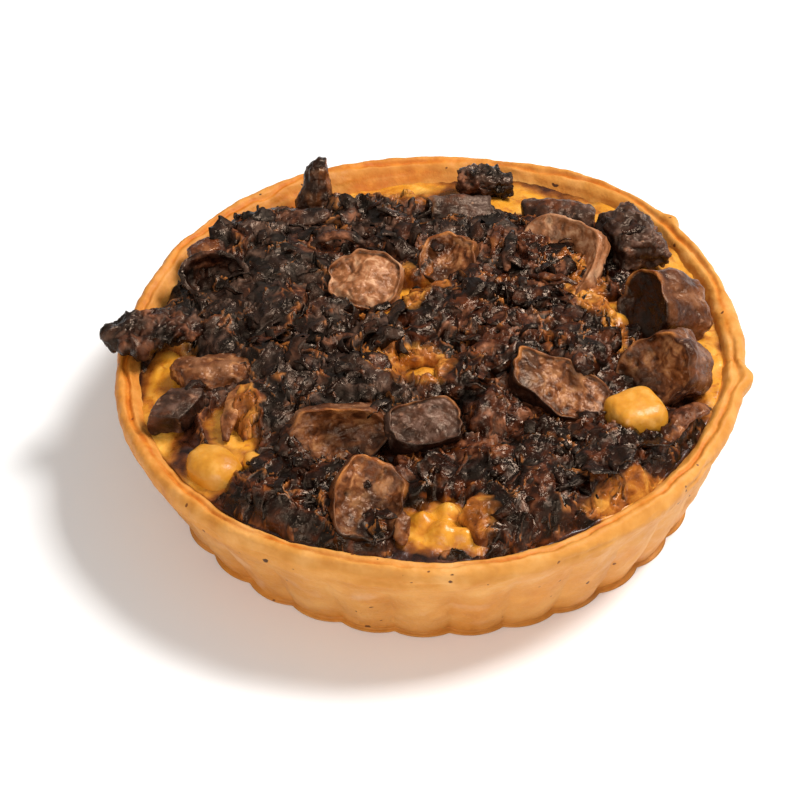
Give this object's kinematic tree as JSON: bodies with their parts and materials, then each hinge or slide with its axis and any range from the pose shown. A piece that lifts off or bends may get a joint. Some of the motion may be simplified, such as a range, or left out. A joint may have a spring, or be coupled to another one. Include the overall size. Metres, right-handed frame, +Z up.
{
  "type": "individual sausage quiche",
  "caption": "An individual quiche in a fluted shortcrust case, its egg custard covered with browned sausage pieces, cheese lumps and charred onion.",
  "frame": {"origin": "middle of the flat foot of the pastry case, on the surface it rests on", "axes": "+Z up out of the filling, -Y towards the side seen in front in the picture, +X to the right in it"},
  "size_m": [0.1208, 0.1218, 0.0341],
  "materials": {
    "baked_pastry": "dry baked shortcrust, golden with browned edges",
    "set_custard": "set egg custard, moist, slightly lumpy",
    "melted_cheese": "melted cheese, smooth and greasy",
    "sausage_meat": "browned sausage meat, coarse grain",
    "sausage_browned": "dark roasted sausage skin",
    "sausage_in_egg": "sausage under a thin coat of browned egg",
    "charred_onion": "charred onion, black and glossy with fat",
    "browned_onion": "dark browned onion, orange at thin edges",
    "pale_onion": "soft translucent onion"
  },
  "bodies": {
    "root": {"crust": "baked_pastry", "custard": "set_custard", "cheese_cube_right": "melted_cheese", "cheese_lump_left": "melted_cheese", "cheese_lump_small": "melted_cheese", "onion_arch": "charred_onion", "onion_button": "browned_onion", "onion_char_left": "charred_onion", "onion_clump_rim": "charred_onion", "onion_cup": "charred_onion", "onion_flake_grey": "charred_onion", "onion_leaf_right": "browned_onion", "onion_pale_strip": "pale_onion", "onion_strip_black": "charred_onion", "onion_strip_orange": "browned_onion", "onion_strip_thin": "browned_onion", "onions_back": "charred_onion", "onions_back_left": "charred_onion", "onions_back_right": "charred_onion", "onions_centre": "charred_onion", "onions_front_left": "charred_onion", "onions_front_right": "charred_onion", "onions_left": "charred_onion", "sausage_chunk_front": "sausage_meat", "sausage_clump_back_right": "sausage_browned", "sausage_crescent": "sausage_in_egg", "sausage_cube_left": "sausage_browned", "sausage_egg_coated": "sausage_in_egg", "sausage_half_back": "sausage_browned", "sausage_half_left": "sausage_meat", "sausage_half_middle": "sausage_browned", "sausage_left": "sausage_meat", "sausage_mottled_back": "sausage_browned", "sausage_pitted": "sausage_meat", "sausage_right_lower": "sausage_meat", "sausage_right_upper": "sausage_meat", "sausage_slice_centre": "sausage_meat", "sausage_strip_front": "sausage_meat", "sausage_tip_back_left": "sausage_meat"}
  },
  "joints": []
}
